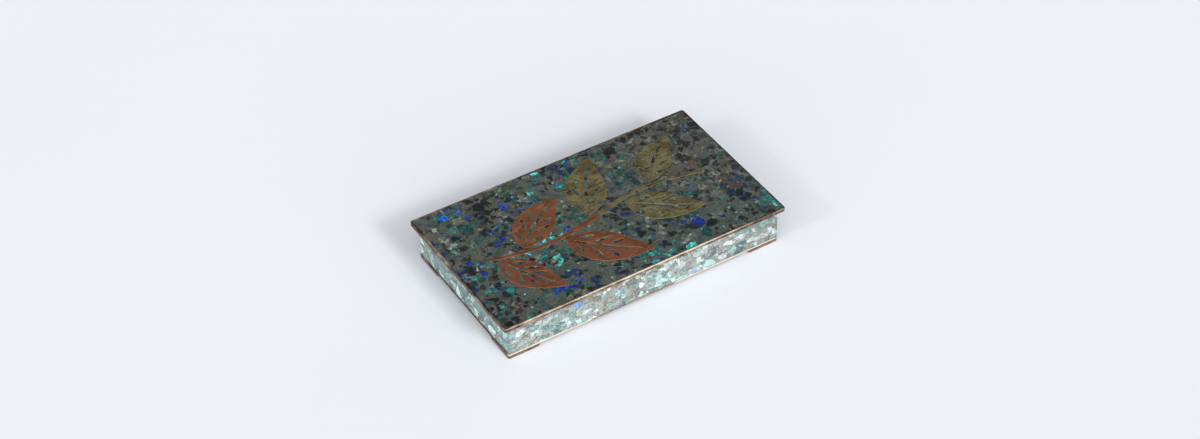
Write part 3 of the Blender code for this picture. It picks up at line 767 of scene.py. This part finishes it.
def build_lid():
    rim_look = rim_metal("lid_edge_patina_and_highlight")
    ease = 0.30 * MM
    outer = held(divided(lid_outline(0), PACE, 0.05 * MM, 1))
    inner = divided(lid_outline(RIM_WIDTH), PACE, 0.09 * MM, 2)[::-1]
    for point in inner:
        if point.x < LID_LOW.x + 3 * MM:
            point.x += 0.4 * MM * eased(point.y, -15 * MM, 20 * MM)
        if point.y > LID_HIGH.y - 3 * MM:
            point.y -= 0.3 * MM
    floor = LID_HIGH.z - 0.02 * MM
    rings = (
        (0.05 * MM, floor, 0.1),
        (0.04 * MM, floor + 0.25 * MM, 0.3),
        (0.0, floor + 0.4 * MM, 0.5),
        (0.0, RIM_TOP - ease, 0.7),
        (ease * 0.3, RIM_TOP - ease * 0.3, 1.0),
        (ease, RIM_TOP, 1.0),
    )
    data = slab([outer, inner], rings, lid_tone)
    make("lid_edge_strip", data, "lid", [rim_look], ["lid_rim"])

    plate = held(divided(lid_outline(0.0), PACE, 0.05 * MM, 5))
    rings = (
        (0.25 * MM, LID_LOW.z, 0.4),
        (0.02 * MM, LID_LOW.z + 0.25 * MM, 0.6),
        (0.02 * MM, LID_HIGH.z - 0.25 * MM, 0.5),
        (0.3 * MM, LID_HIGH.z, 0.1),
    )
    data = slab([plate], rings, lid_tone)
    under = worn_metal("lid_sheet_brass", (176, 148, 98), (158, 130, 84), (110, 86, 56), (40, 0.0),
                       stain=0.3, cloud=45 * MM, brushing=0.3)
    piece = make("lid_sheet", data, "lid", [rim_look, under], ["lid_plate"])
    for face in piece.data.polygons:
        if abs(face.normal.z) > 0.95:
            face.material_index = 1


def build_inlays():
    """Sawn sheet metal with eased edges, let into the resin. Returns the outer outlines."""
    looks = {
        "copper": worn_metal("copper_inlay", (193, 125, 91), (163, 104, 75), (108, 65, 47), (22, 0.25),
                             edge=(212, 146, 108), rough=(0.42, 0.55), stain=0.3, brushing=0.3, marks=0.5),
        "brass": worn_metal("brass_inlay", (186, 174, 124), (142, 128, 90), (52, 38, 30), (22, 0.25),
                            edge=(186, 172, 122), pits=1.0, rough=(0.42, 0.55), stain=0.35, brushing=0.4),
    }
    ease = 0.07 * MM
    rings = (
        (0.0, INLAY_TOP - INLAY_SINK, 0.2),
        (0.0, INLAY_TOP - ease, 0.6),
        (ease, INLAY_TOP, 0.85),
        (0.3 * MM, INLAY_TOP, 0.1),
    )
    outlines = []
    for metal, look in looks.items():
        for motif in ("stem", "leaf_1", "leaf_2", "leaf_3"):
            node = f"{metal}_{motif}"
            outer, *holes = top_loops(node)
            loops = [smoothed(outer, math.radians(28)), *(smoothed(hole) for hole in holes)]
            if motif == "stem":
                loops = [divided(loops[0], 1.5 * MM)]
            loops = [divided(loop, 3 * MM, 0.06 * MM, 11) for loop in loops]
            make(node + "_sheet", slab(loops, rings), "lid", [look], [node])
            outlines.append(loops[0])
    return outlines


def build_bed():
    """The resin under the chips, drawn back unevenly from the front stretch of the left edge."""
    outline = divided(lid_outline(RIM_WIDTH - 0.1 * MM), PACE)
    for point in outline:
        if point.x < LID_LOW.x + 3 * MM:
            gap = 0.7 + 2.0 * noise.noise(Vector((point.x * 30, point.y * 30, 8)))
            point.x += 0.45 * MM * clamped(gap) * eased(point.y, 20 * MM, -20 * MM)
    data = slab([outline], [(0.0, LID_HIGH.z - 0.01 * MM, 0.0), (0.0, RESIN_TOP, 0.0)])
    make("resin_bed", data, "lid", [resin("stone_resin")], ["lid_mosaic"])


STONES = (
    # name, share, pull towards the dull side, dark, middle and light colour, strength of a painted glow
    ("azurite", 0.33, -1.2, (6, 13, 26), (8, 32, 66), (14, 74, 150), 0.0),
    ("cobalt", 0.056, -3.2, (0, 22, 80), (0, 56, 172), (16, 150, 236), 0.12),
    ("turquoise", 0.024, -4.0, (6, 82, 82), (22, 156, 152), (136, 242, 232), 0.06),
    ("malachite", 0.10, -0.7, (6, 44, 38), (16, 84, 72), (50, 148, 122), 0.0),
    ("teal", 0.15, 0.3, (6, 34, 37), (16, 64, 66), (44, 112, 108), 0.0),
    ("jet", 0.21, 0.9, (5, 6, 7), (14, 16, 16), (42, 41, 38), 0.0),
    ("olive", 0.08, 0.7, (60, 64, 54), (96, 100, 86), (140, 142, 126), 0.0),
    ("brick", 0.012, 1.4, (60, 38, 32), (98, 62, 55), (142, 98, 86), 0.0),
    ("cream", 0.014, 0.3, (84, 92, 80), (126, 134, 120), (176, 186, 170), 0.0),
)


def drawn_kind(rng, x, y, chances, waves, first):
    """Index of one of the chances, each the log of its share and how strongly it gathers in clusters,
    which lie so many to a metre. First is where their slices of the noise start."""
    scores = []
    for index, (share, pull) in enumerate(chances):
        cluster = noise.noise(Vector((x * waves, y * waves, first + index * 7.3)))
        luck = -math.log(-math.log(rng.uniform(1e-6, 1 - 1e-6)))
        scores.append(share + pull * cluster + luck)
    return scores.index(max(scores))


# How strongly the stones of a kind gather: plain ones, and those given a painted glow
STONE_CLUSTERS, PAINTED_GLOW_CLUSTERS = 5.6, 8.0

# The chips of stone: mean spacing and its swing in mm, the share of cells that hold one and how much
# that share goes with the clusters, and how deep each chip sinks and how high it stands
STONE_SPACING = (5.6, 4.6)
STONE_SHARE = (0.60, 1.6)
STONE_SINK, STONE_RISE = 0.3 * MM, 0.04 * MM
SMALLEST_STONE = 0.7 * MM * MM


def build_stones(outlines):
    rng = random.Random(4)
    margin = 0.6 * MM
    left, front = LID_LOW.x + RIM_WIDTH + margin, LID_LOW.y + RIM_WIDTH
    width, height = LID_HIGH.x - left - RIM_WIDTH, LID_HIGH.y - front - RIM_WIDTH - margin
    corner = Vector((left, front))

    def place(p, h):
        return Vector((p.x, p.y, RESIN_TOP + h))

    data = ([], [], [], [], [])
    metal_edges = [divided(outline, 1.2 * MM) for outline in outlines]
    for cell in broken_cells(rng, width, height, STONE_SPACING, 60):
        at = middle_of(cell) + corner
        density = noise.noise(Vector((at.x * 34, at.y * 34, 90)))
        drawn = rng.random()
        dull = eased(at.x, *DULL_X) * eased(at.y, *DULL_Y)
        chances = [(math.log(share) + pull * dull, PAINTED_GLOW_CLUSTERS if painted_glow else STONE_CLUSTERS)
                   for _, share, pull, *_, painted_glow in STONES]
        kind = drawn_kind(rng, at.x, at.y, chances, 30, 0)
        shape, lean = chipped(cell, rng, 0.22, 0.7, 0.01)
        if drawn > STONE_SHARE[0] + STONE_SHARE[1] * density:
            continue
        shape = clear_of([p + corner for p in shape], metal_edges)
        if len(shape) < 3 or area_of(shape) < SMALLEST_STONE:
            continue
        shape = ragged(shape, 1.1 * MM, 0.672 * MM)
        chip(data, shape, place, STONE_SINK, STONE_RISE, lean, kind)
    looks = [stone("stone_" + name, *colours, painted_glow) for name, _, _, *colours, painted_glow in STONES]
    make("stone_chips", data, "lid", looks)


def clear_of(shape, metal_edges):
    """A chip cut back to the edge of each metal inlay that it meets."""
    for outline in metal_edges:
        middle = middle_of(shape)
        reach = max((p - middle).length for p in shape)
        distance, index = min(((p - middle).length, i) for i, p in enumerate(outline))
        if distance > reach + 1.5 * MM:
            if turns_round(outline, middle):
                return []
            continue
        tangent = outline[(index + 1) % len(outline)] - outline[index - 1]
        inwards = Vector((-tangent.y, tangent.x)).normalized()
        shape = clipped(shape, outline[index] - inwards * 0.06 * MM, inwards)
        if len(shape) < 3:
            return []
    return shape


def turns_round(outline, point):
    """True where the outline goes round the point."""
    crossings = [point.x < a.x + (point.y - a.y) / (b.y - a.y) * (b.x - a.x)
                 for a, b in edges_of(outline) if (a.y > point.y) != (b.y > point.y)]
    return sum(crossings) % 2 == 1


# Box


SHELLS = (
    # name, share on the long and on the short sides, pull towards the right end of the long ones,
    # dark, middle and light colour
    ("white", 0.24, 0.37, -1.5, (118, 122, 116), (178, 184, 179), (238, 242, 238)),
    ("silver", 0.20, 0.04, -0.4, (80, 88, 86), (130, 138, 134), (180, 188, 184)),
    ("aqua", 0.28, 0.44, -0.2, (52, 96, 98), (108, 152, 148), (182, 214, 208)),
    ("taupe", 0.09, 0.14, 0.5, (60, 52, 47), (98, 90, 82), (146, 140, 132)),
    ("green", 0.05, 0.09, 1.5, (34, 84, 78), (78, 130, 124), (146, 194, 186)),
    ("violet", 0.012, 0.012, 1.6, (84, 112, 158), (124, 152, 200), (178, 202, 234)),
    ("rose", 0.04, 0.03, 0.8, (114, 94, 86), (160, 142, 134), (206, 192, 184)),
)

# Each side, seen from outside: its name, its left corner, and which way it runs
SIDES = (
    ("front", CAP_LOW.x, CAP_LOW.y, 1, 0),
    ("right", CAP_HIGH.x, CAP_LOW.y, 0, 1),
    ("back", CAP_HIGH.x, CAP_HIGH.y, -1, 0),
    ("left", CAP_LOW.x, CAP_HIGH.y, 0, -1),
)
SHELL_LOW, SHELL_HIGH = BASE_HIGH.z - 0.02 * MM, CAP_LOW.z + 0.02 * MM

# How thick the resin of the sides is, how far its face lies within the cap's edge, and the rim that
# the chips leave free
SHELL_DEPTH = 2.2 * MM
FACE_IN = 0.22 * MM
FREE_EDGE = 0.15 * MM

# The notch in the back that the hinge sits in: half its width, and its lower edge
NOTCH_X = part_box("hinge_box_leaf")[1].x + 0.3 * MM
NOTCH_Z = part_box("hinge_box_leaf")[0].z - 0.3 * MM

# The chips of shell, as those of stone. The short and the long sides each have their own stretch of
# the chips along the side, and their own share of cells that hold one
SHELL_SPACING = (6.2, 4.6)
SHORT_SHELL, LONG_SHELL = (1.0, 0.86), (1.2, 0.60)
SHELL_SINK, SHELL_RISE = 0.4 * MM, 0.12 * MM
SHELL_CLUSTERS = 2.4
SMALLEST_SHELL = 0.6 * MM * MM


def within_face(shape, length, back):
    """A chip cut back to the face of its side, and on the back to the notch, where nothing is left
    of a chip that lies in it."""
    for point, normal in (
        ((FREE_EDGE, 0), (-1, 0)),
        ((length - FREE_EDGE, 0), (1, 0)),
        ((0, SHELL_LOW + FREE_EDGE), (0, -1)),
        ((0, SHELL_HIGH - FREE_EDGE), (0, 1)),
    ):
        shape = clipped(shape, Vector(point), Vector(normal))
    if not back or not shape:
        return shape
    at = middle_of(shape)
    beside = at.x - length / 2
    if abs(beside) >= NOTCH_X:
        out = math.copysign(1, beside)
        return clipped(shape, Vector((length / 2 + out * (NOTCH_X + FREE_EDGE), 0)), Vector((-out, 0)))
    if at.y > NOTCH_Z:
        return []
    return clipped(shape, Vector((0, NOTCH_Z - FREE_EDGE)), Vector((0, 1)))


def build_shell_side(number, side, x, y, run_x, run_y, backing, looks):
    """The resin and the chips of one side. Plan x runs along the side and plan y up it."""
    corner, along, inwards = Vector((x, y, 0)), Vector((run_x, run_y, 0)), Vector((-run_y, run_x, 0))
    short = side in ("left", "right")
    length = CAP_HIGH.y - CAP_LOW.y if short else CAP_HIGH.x - CAP_LOW.x

    def place(p, h):
        return corner + along * p.x + inwards * (FACE_IN - h) + Vector((0, 0, p.y))

    outline = [(0, SHELL_LOW), (length, SHELL_LOW), (length, SHELL_HIGH), (0, SHELL_HIGH)]
    if side == "back":
        start, end = length / 2 - NOTCH_X, length / 2 + NOTCH_X
        outline[3:3] = [(end, SHELL_HIGH), (end, NOTCH_Z), (start, NOTCH_Z), (start, SHELL_HIGH)]
    loop = divided([Vector(p) for p in outline], 4 * MM)
    vertices, faces, tones, *_ = slab([loop], [(0, -SHELL_DEPTH, 0), (0, 0, 0)])
    mitred = []
    for v in vertices:
        run = min(max(v.x, FACE_IN - v.z), length + v.z - FACE_IN)
        mitred.append(place(Vector((run, v.y)), v.z))
    data = (mitred, faces, tones, None, None)
    make(f"shell_{side}_resin", data, "box", [backing], ["shell_" + side])

    rng = random.Random(20 + number)
    stretch, share = SHORT_SHELL if short else LONG_SHELL
    data = ([], [], [], [], [])
    for cell in broken_cells(rng, length / stretch, SHELL_HIGH - SHELL_LOW, SHELL_SPACING, number * 9 + 3):
        middle = middle_of(cell)
        at_x = (corner + along * middle.x * stretch).x
        right_end = 0.0 if short else eased(at_x, 25 * MM, 75 * MM)
        chances = [(math.log(shares[short]) + pull * right_end, SHELL_CLUSTERS)
                   for _, *shares, pull, _, _, _ in SHELLS]
        kind = drawn_kind(rng, middle.x + number, middle.y, chances, 90, 40)
        shape, lean = chipped(cell, rng, 0.18, 0.65, 0.035)
        drawn = rng.random()
        shape = [Vector((p.x * stretch, SHELL_LOW + p.y)) for p in shape]
        shape = within_face(shape, length, side == "back")
        if drawn > share or len(shape) < 3 or area_of(shape) < SMALLEST_SHELL:
            continue
        shape = ragged(shape, 1.4 * MM, 0.40 * MM)
        chip(data, shape, place, SHELL_SINK, SHELL_RISE, lean, kind, 0.35)
    make(f"shell_{side}_chips", data, "box", looks)


def build_shell_sides():
    backing = shell_resin("shell_resin")
    looks = [pearl("shell_" + name, *colours) for name, _, _, _, *colours in SHELLS]
    for number, side in enumerate(SIDES):
        build_shell_side(number, *side, backing, looks)


def base_tone(point, height, wear_and_highlight):
    """Bright gold at both ends of the front edge, dark along its middle and on the other sides: partly
    patina and wear, partly a painted highlight in front and painted shade on the other sides.
    """
    share = (point.x - BASE_LOW.x) / (BASE_HIGH.x - BASE_LOW.x)
    patch = noise.noise(Vector((point.x * 70, point.y * 70, 5)))
    # Partly painted light: gold at the ends of the front edge as a painted highlight, the other sides dark
    # as painted shade.
    if point.y < BASE_LOW.y + 2 * MM:
        base = 1.0 if share < 0.30 or share > 0.60 else 0.40
    else:
        base = 0.27
    return clamped(base + 0.25 * patch + 0.15 * (wear_and_highlight - 0.5))


def build_base():
    look = rim_metal("base_edge_patina_and_highlight")
    under = worn_metal("base_underside", (120, 96, 60), (90, 70, 46), (50, 38, 28), (6, 0.4), pits=0.6)
    outline = divided(rounded_rectangle(BASE_LOW, BASE_HIGH, 0, 1.0 * MM), PACE)
    rings = (
        (0.3 * MM, BASE_LOW.z, 0.3),
        (0.0, BASE_LOW.z + 0.3 * MM, 0.6),
        (0.0, BASE_HIGH.z - 0.2 * MM, 0.8),
        (0.2 * MM, BASE_HIGH.z, 0.8),
    )
    data = slab([outline], rings, base_tone)
    piece = make("base_sheet", data, "box", [look, under], ["base_plate"])
    for face in piece.data.polygons:
        if face.normal.z < -0.95:
            face.material_index = 1

    foot_look = worn_metal("foot_metal", (154, 131, 119), (119, 98, 89), (68, 52, 46), (4, 0.0),
                           edge=(208, 180, 152), stain=0.6)
    for corner in ("front_left", "front_right", "back_left", "back_right"):
        node = "foot_" + corner
        loop = divided(top_loops(node)[0], 2 * MM)
        top = BASE_LOW.z + 0.02 * MM
        rings = [(0.2 * MM, 0.0, 0.2), (0.02 * MM, 0.2 * MM, 0.6), (0.02 * MM, top, 0.3)]
        make(node + "_strip", slab([loop], rings), "box", [foot_look], [node])


def dress_nodes():
    """Materials for the CAD nodes that stay in sight."""
    brass = worn_metal("carcass_brass", (190, 156, 96), (154, 122, 74), (80, 60, 40), (10, 0.0), pits=0.5)
    hinge = worn_metal("hinge_brass", (120, 96, 60), (84, 66, 44), (40, 30, 22), (10, 0.0), pits=0.5)
    for look, nodes in (
        (brass, ("wall_frame", "top_rim", "hinge_pin")),
        (hinge, ("hinge_box_leaf", "hinge_lid_leaf")),
        (cedar("cedar_along", True), ("lining_floor", "lining_front", "lining_back")),
        (cedar("cedar_across", False), ("lining_left", "lining_right")),
    ):
        for node in nodes:
            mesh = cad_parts[node].data
            mesh.materials.clear()
            mesh.materials.append(look)


# Room

FLOOR_HALF = 4.0
FLOOR_DIM, FLOOR_PALE = (0.800, 0.832, 0.902), (0.813, 0.845, 0.916)

# The studio is bright low down behind the camera, dim behind the box, and pale along the horizon.
# The bright side comes on between two cosines of the turn towards it, the horizon between two heights
BRIGHT_SIDE = (-0.42, -0.85, 0.30)
DIM_SIDE, BRIGHT, HORIZON = 0.27, 2.20, 0.54
BRIGHT_TURNS = (0.25, 0.95)
HORIZON_HEIGHTS = (0.50, 0.12)

# Each lamp: azimuth round from the front, elevation, spread and power
LAMPS = (
    ("key", 9, 34, 13, 1.30),
    ("fill", -84, 32, 6, 0.40),
)

# The camera: azimuth, elevation and roll in degrees, focal length in mm, and distance from what it
# looks at
AZIMUTH, ELEVATION, ROLL = -32.18, 41.56, 0.35
FOCAL_LENGTH, SENSOR_WIDTH = 74.08, 36
DISTANCE, TARGET = 1.623, (0.01574, 0.02281, 0)


def direction(azimuth, elevation):
    """Unit vector towards an azimuth, counted from the front, and an elevation, in degrees."""
    a, e = math.radians(azimuth), math.radians(elevation)
    return Vector((math.sin(a) * math.cos(e), -math.cos(a) * math.cos(e), math.sin(e)))


def room():
    look = Look("pale_floor")
    tone = look.noise(0.25, 2, 0.4)
    look.set(Base_Color=look.ramp(tone, (0.3, FLOOR_DIM), (0.7, FLOOR_PALE)), Roughness=0.7)
    mesh = bpy.data.meshes.new("floor")
    corners = [(FLOOR_HALF * x, FLOOR_HALF * y, 0) for x, y in ((-1, -1), (1, -1), (1, 1), (-1, 1))]
    mesh.from_pydata(corners, [], [(0, 1, 2, 3)])
    mesh.materials.append(look.material)
    floor = placed("floor", mesh)

    world = bpy.data.worlds.new("studio")
    world.use_nodes = True
    studio = Nodes(world.node_tree)
    towards = studio.add("ShaderNodeTexCoord").outputs["Generated"]
    turn = studio.add("ShaderNodeVectorMath", {0: towards, 1: BRIGHT_SIDE}, operation="DOT_PRODUCT")
    glow = studio.between(turn.outputs["Value"], *BRIGHT_TURNS, DIM_SIDE, BRIGHT)
    height = studio.add("ShaderNodeSeparateXYZ", {0: towards}).outputs["Z"]
    horizon = studio.between(height, *HORIZON_HEIGHTS, 0.0, HORIZON)
    background = studio.tree.nodes["Background"]
    studio.put(studio.math("MAXIMUM", glow, horizon), background.inputs["Strength"])
    studio.put((1, 1, 1), background.inputs["Color"])
    bpy.context.scene.world = world

    for name, azimuth, elevation, spread, power in LAMPS:
        away = direction(azimuth, elevation)
        lamp = bpy.data.lights.new(name, "SUN")
        lamp.angle = math.radians(spread)
        lamp.energy = power
        item = placed(name, lamp)
        item.location = away
        item.rotation_euler = away.to_track_quat("Z", "Y").to_euler()
        item.visible_glossy = False


def camera():
    back, flat = direction(AZIMUTH, ELEVATION), direction(AZIMUTH + 90, 0)
    upright = back.cross(flat)
    roll = math.radians(ROLL)
    right = flat * math.cos(roll) - upright * math.sin(roll)
    up = flat * math.sin(roll) + upright * math.cos(roll)
    data = bpy.data.cameras.new("camera")
    data.sensor_width = SENSOR_WIDTH
    data.lens = FOCAL_LENGTH
    data.clip_start = 0.01
    item = placed("camera", data)
    at = Vector(TARGET) + back * DISTANCE
    item.matrix_world = Matrix.Translation(at) @ Matrix((right, up, back)).transposed().to_4x4()
    bpy.context.scene.camera = item
    bpy.context.scene.view_settings.view_transform = "Standard"


room()
camera()
build_lid()
outlines = build_inlays()
build_bed()
build_stones(outlines)
build_shell_sides()
build_base()
dress_nodes()
